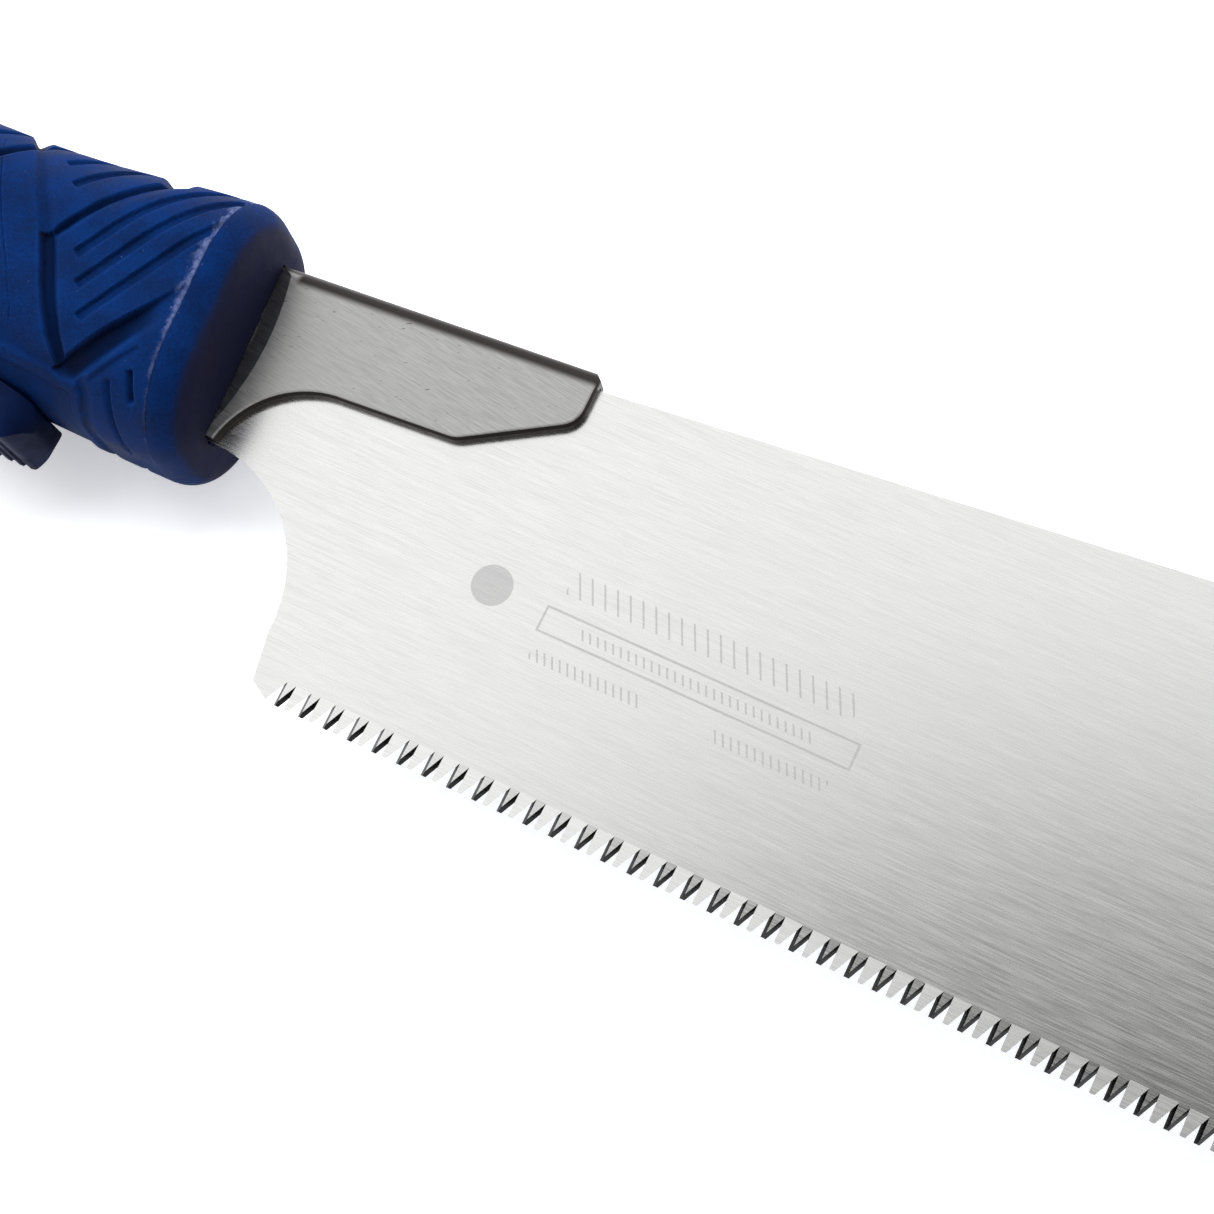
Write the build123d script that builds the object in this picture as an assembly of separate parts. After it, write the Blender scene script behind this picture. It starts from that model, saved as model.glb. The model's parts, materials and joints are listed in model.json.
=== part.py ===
from build123d import *
import math
import os

# A Japanese pull saw with an exchangeable blade, lying on its side.
#
# Working axes, millimetres: +X runs along the tooth line from the handle to the toe, +Y runs from
# the teeth up to the back, and +Z runs across the blade, whose mid-plane is z = 0. The point
# (0, 0, 0) is the root of the first gullet. The finished parts are shifted together at the end, so
# that the origin is the middle of the underside of the whole saw's box.

# ---------------------------------------------------------------- driving sizes
BLADE_T = 0.5
PITCH = 1.5
TOOTH_COUNT = 120
TOOTH_DEPTH = 2.8
TIP_FLAT = 0.15
FLEAM_RUN = 0.84
HEEL_RADIUS = 16.5
BACK_X = 16.4
BACK_Y = 43.2
BACK_SLOPE = 0.0931
TOE_X = 183.5
TOE_R = 4.0
TOE_TIP_R = 1.5
HEEL_CENTRE = (-21.0, 4.0)
SHOULDER_X = -22.0

SHEET_HALF_T = 1.55
NECK_HALF_T = 1.0
NECK_CENTRE_X = -56.0
NECK_R = 33.5
NECK_TAPER = 2.4
SLOT_HALF_GAP = 0.27
FOLD_T = 1.3
SOCKET_EDGE_R = 0.5
SPINE_R = 1.35
TAIL_END_X = -86.0
TAIL_TOP_Y = 40.5
TAIL_LOW_Y = 27.7
TANG_LOW_Y = 25.2
TANG_TOP_Y = 35.0
TANG_END_X = -84.0

RUBBER_T = 2.2
SECTION_CORNER_R = 11.0
NOSE_X = -22.5
NOSE_Y = 31.0
NOSE_TILT = 5.5
NOSE_WALL = 2.6
RIM_R = 3.6
SEAM_X = -25.9
SEAM_TILT = 5.0
CAP_X = -166.0
BUTT_X = -182.0
BUTT_R = 5.0

PIVOT_X = -60.0
PIVOT_Y = 21.4
PIVOT_R = 1.5
HUB_R = 2.9
HUB_Z = (-3.4, 1.0)
CATCH_HALF_T = 1.4
PAD_HALF_W = 5.5
PAD_FRONT_X = -39.0
PAD_NOSE_X = -41.0
PAD_REAR_X = -64.0
PAD_NOSE_R = 0.9
PAD_PLAN_R = 4.0
PAD_LOW_Y = 10.1
PAD_ARC_R = 60.0
PAD_ARC_X = -45.5
SERRATION_PITCH = 1.65
SERRATION_R = 0.55
SERRATION_COUNT = 13
SERRATION_START_X = -42.4
OPENING_X = (-69.0, -34.8)
OPENING_HALF_W = 8.1
OPENING_CORNER_R = 7.6
WELL_HALF_W = 7.6
WELL_ROOF_Y = 24.6
WELL_REAR_X = -69.5
WELL_FRONT_X = -33.8
HUB_WELL_HALF_W = 4.2
BUMPER_X = (-43.0, -38.5)
BUMPER_Y = (22.0, 24.95)
BUMPER_HALF_W = 3.95
BUSH_OUTER_R = 2.2
BUSH_OUTER_Z = 6.0
SPRING_WIRE_R = 0.38
SPRING_COIL_R = 2.3
SPRING_TURNS = 4
SPRING_LEG = 11.5

STOP_X = -81.5
STOP_Y = 30.0
STOP_R = 2.0
STOP_HALF_LENGTH = 5.0
FASTENER_Y = 37.6
TAIL_SCREWS = [(-37.0, FASTENER_Y), (-64.0, FASTENER_Y)]
REAR_SCREWS = [(-97.0, 29.8), (-124.0, 29.4), (-150.0, 28.8)]
TAIL_RIVETS = [(-29.5, FASTENER_Y), (-78.0, FASTENER_Y)]
SCREW_R = 1.5
SCREW_HOLE_R = 1.6
EYELET_X = -173.5
EYELET_Y = 27.8
EYELET_BORE_R = 3.0
EYELET_HALF_LENGTH = 12.4
EYELET_TUBE_R = 4.55
EYELET_FLANGE_R = 6.2
EYELET_FLANGE_T = 0.9
SCREW_HEAD_Z = 4.6
HEAD_R = 2.7
HEAD_H = 1.9
NUT_Z = 4.4
NUT_R = 3.1
NUT_H = 2.0
KEY_R = 1.2
KEY_DEPTH = 1.2
RIVET_HEAD_R = 2.2
RIVET_HEAD_H = 0.8
INSERT_LENGTH = 8.0
INSERT_R = 2.4
CAP_SCREW_SPREAD = 9.5
CAP_SCREW_REACH = 12.0
CAP_HEAD_DEPTH = 5.0
RUN_GAP = 0.03
HIDDEN_FIT = 0.02
FAR = 300.0

# Handle stations from nose to butt: x, middle height, half height, half thickness.
STATIONS = [
    (-18.0, 31.2, 15.9, 13.0),
    (-30.0, 31.0, 15.8, 12.9),
    (-43.0, 30.3, 15.1, 12.3),
    (-75.0, 30.0, 14.7, 12.0),
    (-110.0, 29.6, 15.5, 12.5),
    (-142.0, 29.0, 14.8, 12.1),
    (-166.0, 28.2, 16.6, 12.7),
    (BUTT_X, 27.8, 17.6, 13.0),
]


# ---------------------------------------------------------------- small helpers
def polygon(points):
    """Flat face through the points, in the z = 0 plane."""
    return make_face(Polyline(*points, close=True))


def outlined(*pieces):
    """Flat face inside a closed chain of lines and arcs."""
    return make_face([edge for piece in pieces for edge in piece.edges()])


def slab(face, half_thickness):
    """The face thickened equally to both sides of the z = 0 plane."""
    return extrude(face, amount=half_thickness, both=True)


def block(x_range, y_range, z_range):
    """Box between the given limits."""
    size = [high - low for low, high in (x_range, y_range, z_range)]
    middle = [(high + low) / 2 for low, high in (x_range, y_range, z_range)]
    return Pos(*middle) * Box(*size)


def rod(x, y, radius, z_low, z_high):
    """Cylinder across the saw, along Z."""
    return Pos(x, y, (z_low + z_high) / 2) * Cylinder(radius, z_high - z_low)


def rod_along_x(x_low, x_high, y, radius):
    """Cylinder along the handle, in the z = 0 plane."""
    return Pos((x_low + x_high) / 2, y, 0) * Rot(0, 90, 0) * Cylinder(radius, x_high - x_low)


def tilted_plane(x, tilt):
    """Cross plane of the handle through (x, NOSE_Y), its normal tilted up from +X."""
    normal = (math.cos(math.radians(tilt)), math.sin(math.radians(tilt)), 0)
    return Plane(origin=(x, NOSE_Y, 0), x_dir=(0, 0, 1), z_dir=normal)


def back_height(x):
    """Height of the blade's straight back edge at x."""
    return BACK_Y + (x - BACK_X) * BACK_SLOPE


# ---------------------------------------------------------------- blade
def blade_outline():
    """Blade with its tang: toothless, the lower edge lying on the line of the tooth tips."""
    heel_x, heel_y = HEEL_CENTRE
    heel_low_x = heel_x + HEEL_RADIUS
    neck_low_y = heel_y + HEEL_RADIUS
    toe_top_x = TOE_X - 4.0
    return outlined(
        Polyline((TANG_END_X, TANG_LOW_Y), (-33.5, TANG_LOW_Y), (-29.5, neck_low_y), (heel_x, neck_low_y)),
        CenterArc(HEEL_CENTRE, HEEL_RADIUS, 0, 90),
        Polyline(
            (heel_low_x, heel_y),
            (-3.4, -1.4),
            (-1.0, -TOOTH_DEPTH),
            (TOOTH_COUNT * PITCH + 0.2, -TOOTH_DEPTH),
            (TOE_X, -0.8),
            (toe_top_x, back_height(toe_top_x)),
            (SHOULDER_X, back_height(SHOULDER_X)),
            (-27.0, TANG_TOP_Y),
            (TANG_END_X, TANG_TOP_Y),
            (TANG_END_X, TANG_LOW_Y),
        ),
    )


def gullet_prism(index):
    """Filed notch between two teeth. It crosses the plate at the fleam angle, either way in turn."""
    root_x = index * PITCH
    overshoot = 1.2
    depth = overshoot * TOOTH_DEPTH
    run = overshoot * (PITCH - TIP_FLAT)
    profile = polygon([(root_x, 0), (root_x, -depth), (root_x - run, -depth)])
    lean = FLEAM_RUN if index % 2 == 0 else -FLEAM_RUN
    start = Pos(-lean * BLADE_T, 0, -BLADE_T) * profile
    return extrude(start, amount=2 * BLADE_T * math.hypot(lean, 1), dir=(lean, 0, 1))


def make_blade():
    plate = slab(blade_outline(), BLADE_T / 2)
    toe_edges = [e for e in plate.edges().filter_by(Axis.Z) if e.center().X > TOE_X - 2 * TOE_R]
    plate = fillet([e for e in toe_edges if e.center().Y > BACK_Y], TOE_R)
    toe_edges = [e for e in plate.edges().filter_by(Axis.Z) if e.center().X > TOE_X - 0.5]
    plate = fillet([e for e in toe_edges if e.center().Y < 5], TOE_TIP_R)
    fork_r = STOP_R + 0.05
    fork = block((TANG_END_X - 1, STOP_X), (STOP_Y - fork_r, STOP_Y + fork_r), (-1, 1))
    fork += rod(STOP_X, STOP_Y, fork_r, -1, 1)
    catch_notch = slab(polygon([(-68.9, 24.7), (-68.9, 27.1), (-71.9, 27.1), (-73.1, 24.7)]), 1)
    gullets = [gullet_prism(i) for i in range(TOOTH_COUNT + 1)]
    return plate - fork - catch_notch - gullets


# ---------------------------------------------------------------- folded steel socket
def socket_outline():
    """Side view of the folded sheet: blade cheek in front, tail inside the handle behind."""
    cheek = outlined(
        Polyline(
            (-20.36, 20.6),
            (-22.5, 20.6),
            (-26.5, 20.8),
            (-33.0, TAIL_LOW_Y),
            (TAIL_END_X, TAIL_LOW_Y),
            (TAIL_END_X, TAIL_TOP_Y),
            (-30.0, TAIL_TOP_Y),
            (-22.5, 42.55),
            (14.9, 44.8),
            (15.9, 43.9),
            (16.0, 38.3),
            (4.3, 31.3),
            (-9.2, 30.4),
        ),
        ThreePointArc((-9.2, 30.4), (-17.2, 27.0), (-20.36, 20.6)),
    )
    lower_front = [v for v in cheek.vertices() if v.X > 15.95]
    cheek = fillet(lower_front, 3.0)
    belly_corner = [v for v in cheek.vertices() if 4.0 < v.X < 5.0]
    return fillet(belly_corner, 3.5)


def neck_relief(half_thickness):
    """What the joggle removes on the +Z side: the cheeks step in before they enter the handle."""
    step = SHEET_HALF_T - NECK_HALF_T + 0.1
    middle_z = half_thickness + step / 2
    cone = Pos(NECK_CENTRE_X, NOSE_Y, middle_z) * Cone(NECK_R, NECK_R + NECK_TAPER, step)
    rear_x = TAIL_END_X - 9
    rear = block((rear_x, NECK_CENTRE_X), (0, 60), (half_thickness, half_thickness + step))
    return cone + rear


def socket_blank(gap):
    """The socket without its blade slot, grown by a gap: also the pocket that it needs."""
    side = socket_outline()
    if gap > 0:
        side = offset(side, gap, kind=Kind.INTERSECTION)
    body = slab(side, SHEET_HALF_T + gap)
    relief = neck_relief(NECK_HALF_T + gap)
    return body - relief - mirror(relief, Plane.XY)


def rounded_socket_blank():
    """The socket with its fold rounded and its stamped edges broken."""
    body = slab(socket_outline(), SHEET_HALF_T)
    spine = [e for e in cheek_edges(body, -21) if is_spine(e)]
    body = fillet(spine, SPINE_R)
    rim = [e for e in cheek_edges(body, -19) if not is_spine(e) and e.center().Y < 42]
    body = fillet(rim, SOCKET_EDGE_R)
    relief = neck_relief(NECK_HALF_T)
    return body - relief - mirror(relief, Plane.XY)


def cheek_edges(body, rear_x):
    """Edges on the two outer faces of the sheet that reach ahead of rear_x."""
    flat = [e for e in body.edges() if abs(abs(e.center().Z) - SHEET_HALF_T) < 1e-6]
    return [e for e in flat if e.bounding_box().max.X > rear_x]


def is_spine(edge):
    """Whether the edge runs along the fold at the back."""
    return edge.center().Y > 42 and edge.length > 20


def make_socket():
    fold_low = [(20, 45.0 - FOLD_T), (-22.5, 42.55 - FOLD_T), (-24, 42.4 - FOLD_T)]
    blade_slot = polygon([(-90, 10), (20, 10)] + fold_low + [(-24, 50), (-90, 50)])
    return rounded_socket_blank() - slab(blade_slot, SLOT_HALF_GAP) - tail_bores(SCREW_HOLE_R)


def tail_bores(radius):
    """Bores through the socket's tail for its screws, rivets and stop pin."""
    bores = [rod(x, y, radius, -FAR, FAR) for x, y in TAIL_SCREWS + TAIL_RIVETS]
    return bores + [rod(STOP_X, STOP_Y, STOP_R, -FAR, FAR)]


def make_spacer_strip():
    """Shim that keeps the two tail plates a blade's thickness apart above the tang."""
    strip = slab(polygon([(-85.5, 35.4), (-28.0, 35.4), (-25.5, 39.8), (-85.5, 39.8)]), SLOT_HALF_GAP)
    return strip - [rod(x, y, SCREW_HOLE_R, -2, 2) for x, y in TAIL_SCREWS + TAIL_RIVETS]


def make_socket_rivets():
    rivets = []
    tip_z = NECK_HALF_T + RIVET_HEAD_H
    for x, y in TAIL_RIVETS:
        rivet = rod(x, y, SCREW_HOLE_R - HIDDEN_FIT, -tip_z, tip_z)
        rivet += rod(x, y, RIVET_HEAD_R, NECK_HALF_T, tip_z)
        rivet += rod(x, y, RIVET_HEAD_R, -tip_z, -NECK_HALF_T)
        rivets.append(rivet)
    return Compound(children=rivets)


def make_stop_pin():
    """Cross pin that the fork at the end of the tang seats on."""
    return rod(STOP_X, STOP_Y, STOP_R - HIDDEN_FIT, -STOP_HALF_LENGTH, STOP_HALF_LENGTH)


# ---------------------------------------------------------------- handle
def handle_form(inset):
    """Handle's outer form from nose to butt, drawn in by the inset."""
    sections = []
    for x, middle_y, half_height, half_thickness in STATIONS:
        plane = Plane(origin=(x, middle_y, 0), x_dir=(0, 1, 0), z_dir=(1, 0, 0))
        outline = RectangleRounded(
            2 * (half_height - inset), 2 * (half_thickness - inset), SECTION_CORNER_R - inset
        )
        sections.append(plane * outline)
    return loft(sections)


def rounded_nose(form):
    """The handle form cut off at its tilted front, with the front rim rounded."""
    front = tilted_plane(NOSE_X, NOSE_TILT)
    form = split(form, bisect_by=front, keep=Keep.BOTTOM)
    rim = [e for e in form.edges() if abs(front.to_local_coords(e.center()).Z) < 0.01]
    return fillet(rim, RIM_R)


def between(solid, front_plane, rear_x):
    """The length of the handle form behind a front plane and ahead of rear_x."""
    rear_plane = Plane(origin=(rear_x, 0, 0), z_dir=(1, 0, 0))
    return split(split(solid, bisect_by=front_plane, keep=Keep.BOTTOM), bisect_by=rear_plane, keep=Keep.TOP)


def lever_opening():
    """Slot through the belly that the release lever works in, round-ended."""
    slot = block(OPENING_X, (0, WELL_ROOF_Y), (-OPENING_HALF_W, OPENING_HALF_W))
    return fillet(slot.edges().filter_by(Axis.Y), OPENING_CORNER_R)


def make_grip_sleeve(outer, inner):
    return between(outer, tilted_plane(SEAM_X, SEAM_TILT), CAP_X) - inner - lever_opening()


def make_front_collar(outer, inner):
    """Ring and front wall that close the grip, slotted for the socket and the tang."""
    ring = split(outer, bisect_by=tilted_plane(SEAM_X, SEAM_TILT), keep=Keep.TOP)
    bore_front = tilted_plane(NOSE_X, NOSE_TILT).offset(-NOSE_WALL)
    bore = split(inner, bisect_by=bore_front, keep=Keep.BOTTOM)
    return ring - bore - socket_blank(0.12) - tang_way()


def tang_way():
    """Thin slot that the blade's tang slides along."""
    side = [(-18, 20.2), (-29.7, 20.2), (-33.7, 24.9), (-86.5, 24.9), (-86.5, 41), (-18, 41)]
    return slab(polygon(side), 0.4)


def lever_wells():
    """Room inside the core for the lever's pad, hub and catch through their whole travel."""
    shelf_y = 19.0
    pad_well = block((WELL_REAR_X, WELL_FRONT_X), (0, shelf_y + 0.4), (-WELL_HALF_W, WELL_HALF_W))
    nose_well = block((-54.0, WELL_FRONT_X), (shelf_y, WELL_ROOF_Y), (-WELL_HALF_W, WELL_HALF_W))
    hub_well = block((WELL_REAR_X, -53.0), (shelf_y, WELL_ROOF_Y), (-HUB_WELL_HALF_W, HUB_WELL_HALF_W))
    catch_well = block((-75.0, PIVOT_X), (13.0, 28.2), (-1.8, 1.8))
    bumper_seat = block(BUMPER_X, (WELL_ROOF_Y - 0.1, BUMPER_Y[1] + 0.05), (-4.0, 4.0))
    return [pad_well, nose_well, hub_well, catch_well, bumper_seat]


def core_pockets():
    """Everything hollowed out of the hard core: socket, tang, lever and fasteners."""
    pockets = [socket_blank(0.05), tang_way()] + lever_wells()
    pockets.append(rod(PIVOT_X, PIVOT_Y, BUSH_OUTER_R + HIDDEN_FIT, -BUSH_OUTER_Z, BUSH_OUTER_Z))
    pockets.append(rod(STOP_X, STOP_Y, STOP_R, -STOP_HALF_LENGTH, STOP_HALF_LENGTH))
    rivet_reach = NECK_HALF_T + RIVET_HEAD_H + 0.15
    for x, y in TAIL_RIVETS:
        pockets.append(rod(x, y, RIVET_HEAD_R + 0.15, -rivet_reach, rivet_reach))
    for x, y in TAIL_SCREWS + REAR_SCREWS:
        pockets.append(rod(x, y, SCREW_R + 0.05, -FAR, FAR))
        pockets.append(rod(x, y, HEAD_R + 0.2, SCREW_HEAD_Z, FAR))
        pockets.append(Pos(x, y, -NUT_Z) * extrude(RegularPolygon(NUT_R + 0.1, 6), amount=-FAR))
    for y in cap_screw_heights():
        pockets.append(rod_along_x(CAP_X - 0.5, CAP_X + CAP_SCREW_REACH + 8, y, SCREW_R + 0.05))
        pockets.append(rod_along_x(CAP_X - 0.5, CAP_X + INSERT_LENGTH, y, INSERT_R))
    return pockets


def cap_screw_heights():
    return [EYELET_Y - CAP_SCREW_SPREAD, EYELET_Y + CAP_SCREW_SPREAD]


def make_core(inner):
    """Left (+Z) and right (-Z) halves of the hard nylon core."""
    nose = tilted_plane(NOSE_X, NOSE_TILT).offset(-NOSE_WALL)
    core = between(inner, nose, CAP_X) - core_pockets()
    left = split(core, bisect_by=Plane.XY, keep=Keep.TOP)
    right = split(core, bisect_by=Plane.XY, keep=Keep.BOTTOM)
    return left, right


def make_core_screws():
    screws = []
    for x, y in TAIL_SCREWS + REAR_SCREWS:
        shank = rod(x, y, SCREW_R - HIDDEN_FIT, -NUT_Z - NUT_H, SCREW_HEAD_Z)
        head = rod(x, y, HEAD_R, SCREW_HEAD_Z, SCREW_HEAD_Z + HEAD_H)
        key = Pos(x, y, SCREW_HEAD_Z + HEAD_H - KEY_DEPTH) * extrude(RegularPolygon(KEY_R, 6), amount=2)
        screws.append(shank + head - key)
    return Compound(children=screws)


def make_core_nuts():
    nuts = []
    for x, y in TAIL_SCREWS + REAR_SCREWS:
        body = Pos(x, y, -NUT_Z - NUT_H) * extrude(RegularPolygon(NUT_R, 6), amount=NUT_H)
        nuts.append(body - rod(x, y, SCREW_R, -FAR, FAR))
    return Compound(children=nuts)


# ---------------------------------------------------------------- butt
def make_end_cap(outer):
    cap = split(outer, bisect_by=Plane(origin=(CAP_X, 0, 0), z_dir=(1, 0, 0)), keep=Keep.BOTTOM)
    cap = fillet([e for e in cap.edges() if e.bounding_box().max.X < BUTT_X + 0.01], BUTT_R)
    seat_z = EYELET_HALF_LENGTH - EYELET_FLANGE_T - HIDDEN_FIT
    head_seat_x = BUTT_X + CAP_HEAD_DEPTH
    cap -= rod(EYELET_X, EYELET_Y, EYELET_TUBE_R + 0.03, -FAR, FAR)
    cap -= rod(EYELET_X, EYELET_Y, EYELET_FLANGE_R + 0.1, seat_z, FAR)
    cap -= rod(EYELET_X, EYELET_Y, EYELET_FLANGE_R + 0.1, -FAR, -seat_z)
    for y in cap_screw_heights():
        cap -= rod_along_x(BUTT_X - 5.0, CAP_X + 5.0, y, SCREW_HOLE_R)
        cap -= rod_along_x(BUTT_X - 5.0, head_seat_x, y, HEAD_R + 0.3)
    return cap


def make_cap_screws():
    screws = []
    seat_x = BUTT_X + CAP_HEAD_DEPTH - 0.05
    for y in cap_screw_heights():
        shank = rod_along_x(seat_x, CAP_X + CAP_SCREW_REACH, y, SCREW_R - HIDDEN_FIT)
        head = rod_along_x(seat_x - HEAD_H, seat_x, y, HEAD_R)
        key = Pos(seat_x - HEAD_H, y, 0) * Rot(0, 90, 0) * extrude(RegularPolygon(KEY_R, 6), amount=KEY_DEPTH)
        screws.append(shank + head - key)
    return Compound(children=screws)


def make_cap_inserts():
    """Brass inserts in the core that the cap's screws bite into."""
    inserts = []
    for y in cap_screw_heights():
        body = rod_along_x(CAP_X + 0.05, CAP_X + INSERT_LENGTH, y, INSERT_R - HIDDEN_FIT)
        inserts.append(body - rod_along_x(CAP_X - 1, CAP_X + CAP_SCREW_REACH, y, SCREW_R))
    return Compound(children=inserts)


def make_hang_eyelet():
    """Flanged tube that lines the hanging hole."""
    tube = rod(EYELET_X, EYELET_Y, EYELET_TUBE_R, -EYELET_HALF_LENGTH, EYELET_HALF_LENGTH)
    flange_z = (EYELET_HALF_LENGTH - EYELET_FLANGE_T, EYELET_HALF_LENGTH)
    flange = rod(EYELET_X, EYELET_Y, EYELET_FLANGE_R, *flange_z)
    eyelet = tube + flange - rod(EYELET_X, EYELET_Y, EYELET_BORE_R, -FAR, FAR)
    rims = [e for e in eyelet.edges() if abs(e.center().Z - EYELET_HALF_LENGTH) < 0.01]
    return fillet(rims, 0.4)


def make_eyelet_washer():
    """Ring under the far end of the eyelet."""
    washer_z = (-EYELET_HALF_LENGTH, -EYELET_HALF_LENGTH + EYELET_FLANGE_T)
    ring = rod(EYELET_X, EYELET_Y, EYELET_FLANGE_R, *washer_z)
    return ring - rod(EYELET_X, EYELET_Y, EYELET_TUBE_R + HIDDEN_FIT, -FAR, FAR)


# ---------------------------------------------------------------- release lever
def pad_underside(x):
    """Height of the thumb pad's bowed underside at x."""
    return PAD_LOW_Y + PAD_ARC_R - math.sqrt(PAD_ARC_R**2 - (x - PAD_ARC_X) ** 2)


def thumb_pad():
    bow = [(x, pad_underside(x)) for x in (PAD_REAR_X, -50.0, PAD_NOSE_X)]
    top = [(PAD_FRONT_X, 12.8), (-40.0, 15.3), (-45.0, 16.1), (-54.0, 17.2), (-60.0, 18.6)]
    rear = [(-66.5, 17.2), (-66.5, 14.0)]
    pad = slab(outlined(ThreePointArc(*bow), Polyline(bow[-1], *top, *rear, bow[0])), PAD_HALF_W)
    nose_edges = [e for e in pad.edges().filter_by(Axis.Z) if e.center().X > PAD_NOSE_X - 0.5]
    pad = fillet(nose_edges, PAD_NOSE_R)
    plan = block((PAD_REAR_X - 3.0, PAD_FRONT_X), (0, WELL_ROOF_Y), (-PAD_HALF_W, PAD_HALF_W))
    plan_corners = [e for e in plan.edges().filter_by(Axis.Y) if e.center().X > PAD_NOSE_X]
    pad = pad & fillet(plan_corners, PAD_PLAN_R)
    for i in range(SERRATION_COUNT):
        x = SERRATION_START_X - i * SERRATION_PITCH
        pad -= rod(x, pad_underside(x) - 0.15, SERRATION_R, -FAR, FAR)
    return pad


def make_release_lever():
    """Rocker: thumb pad in front of the pivot, catch for the tang's notch behind it."""
    hub = rod(PIVOT_X, PIVOT_Y, HUB_R, *HUB_Z)
    web = polygon([(-66.0, 16.0), (-52.0, 15.5), (-57.6, 23.0), (-63.0, 20.8)])
    web = Pos(0, 0, HUB_Z[0]) * extrude(web, amount=HUB_Z[1] - HUB_Z[0])
    hook = [(-60.0, 24.0), (-69.2, 24.3), (-69.2, 26.9), (-71.6, 26.9)]
    stem = [(-72.5, 25.1), (-72.3, 22.2), (-66.0, 16.8), (-60.0, 17.3)]
    catch = slab(polygon(hook + stem), CATCH_HALF_T)
    spring_room = rod(PIVOT_X, PIVOT_Y, SPRING_COIL_R + 1.0, HUB_Z[1], PAD_HALF_W + 1)
    lever = thumb_pad() + web + hub + catch - spring_room
    return lever - rod(PIVOT_X, PIVOT_Y, PIVOT_R + RUN_GAP, -FAR, FAR)


def make_pivot_pin():
    return rod(PIVOT_X, PIVOT_Y, PIVOT_R, -BUSH_OUTER_Z + 0.05, BUSH_OUTER_Z - 0.05)


def make_pivot_bushes():
    """Bronze bushes that carry the pivot pin in the two core halves."""
    bushes = []
    for side in (1, -1):
        low, high = sorted((side * (HUB_WELL_HALF_W + 0.05), side * BUSH_OUTER_Z))
        ring = rod(PIVOT_X, PIVOT_Y, BUSH_OUTER_R, low, high)
        bushes.append(ring - rod(PIVOT_X, PIVOT_Y, PIVOT_R, -FAR, FAR))
    return Compound(children=bushes)


def make_lever_spring():
    """Torsion spring beside the hub: a close-wound coil, as stacked turns, and two straight legs."""
    lead = 2 * SPRING_WIRE_R - 0.04
    low_z = HUB_Z[1] + SPRING_WIRE_R + 0.25
    high_z = low_z + (SPRING_TURNS - 1) * lead
    turns = Pos(SPRING_COIL_R, low_z) * Circle(SPRING_WIRE_R)
    for i in range(1, SPRING_TURNS):
        turns += Pos(SPRING_COIL_R, low_z + i * lead) * Circle(SPRING_WIRE_R)
    coil = Pos(PIVOT_X, PIVOT_Y, 0) * revolve(Plane.XZ * turns, Axis.Z)
    leg = Rot(0, 90, 0) * Cylinder(0.98 * SPRING_WIRE_R, SPRING_LEG)
    leg_x = PIVOT_X + SPRING_LEG / 2
    lever_leg = Pos(leg_x, PIVOT_Y - SPRING_COIL_R, low_z) * leg
    core_leg = Pos(leg_x, PIVOT_Y + SPRING_COIL_R, high_z) * leg
    return coil + lever_leg + core_leg


def make_lever_bumper():
    """Rubber block in the core that the pressed lever comes up against."""
    return block(BUMPER_X, BUMPER_Y, (-BUMPER_HALF_W, BUMPER_HALF_W))


# ---------------------------------------------------------------- assembly
def make_parts():
    outer = rounded_nose(handle_form(0))
    inner = handle_form(RUBBER_T)
    core_left, core_right = make_core(inner)
    return {
        "blade": make_blade(),
        "blade_socket": make_socket(),
        "spacer_strip": make_spacer_strip(),
        "socket_rivets": make_socket_rivets(),
        "stop_pin": make_stop_pin(),
        "core_left": core_left,
        "core_right": core_right,
        "core_screws": make_core_screws(),
        "core_nuts": make_core_nuts(),
        "grip_sleeve": make_grip_sleeve(outer, inner),
        "front_collar": make_front_collar(outer, inner),
        "end_cap": make_end_cap(outer),
        "end_cap_screws": make_cap_screws(),
        "cap_inserts": make_cap_inserts(),
        "hang_eyelet": make_hang_eyelet(),
        "eyelet_washer": make_eyelet_washer(),
        "release_lever": make_release_lever(),
        "lever_pivot_pin": make_pivot_pin(),
        "lever_pivot_bushes": make_pivot_bushes(),
        "lever_spring": make_lever_spring(),
        "lever_bumper": make_lever_bumper(),
    }


def shift_to_underside(parts):
    """Offset that puts the origin at the middle of the underside of the whole saw's box."""
    boxes = [shape.bounding_box() for shape in parts.values()]
    low_x, high_x = min(b.min.X for b in boxes), max(b.max.X for b in boxes)
    low_y, high_y = min(b.min.Y for b in boxes), max(b.max.Y for b in boxes)
    return Pos(-(low_x + high_x) / 2, -(low_y + high_y) / 2, -min(b.min.Z for b in boxes))


parts = make_parts()
SHIFT = shift_to_underside(parts)
os.makedirs("parts", exist_ok=True)
for name, shape in parts.items():
    export_step(SHIFT * shape, f"parts/{name}.step")
print("origin shift", SHIFT.position)
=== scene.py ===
import json
import math

import bmesh
import bpy
import numpy as np
from mathutils import Matrix, Vector


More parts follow.
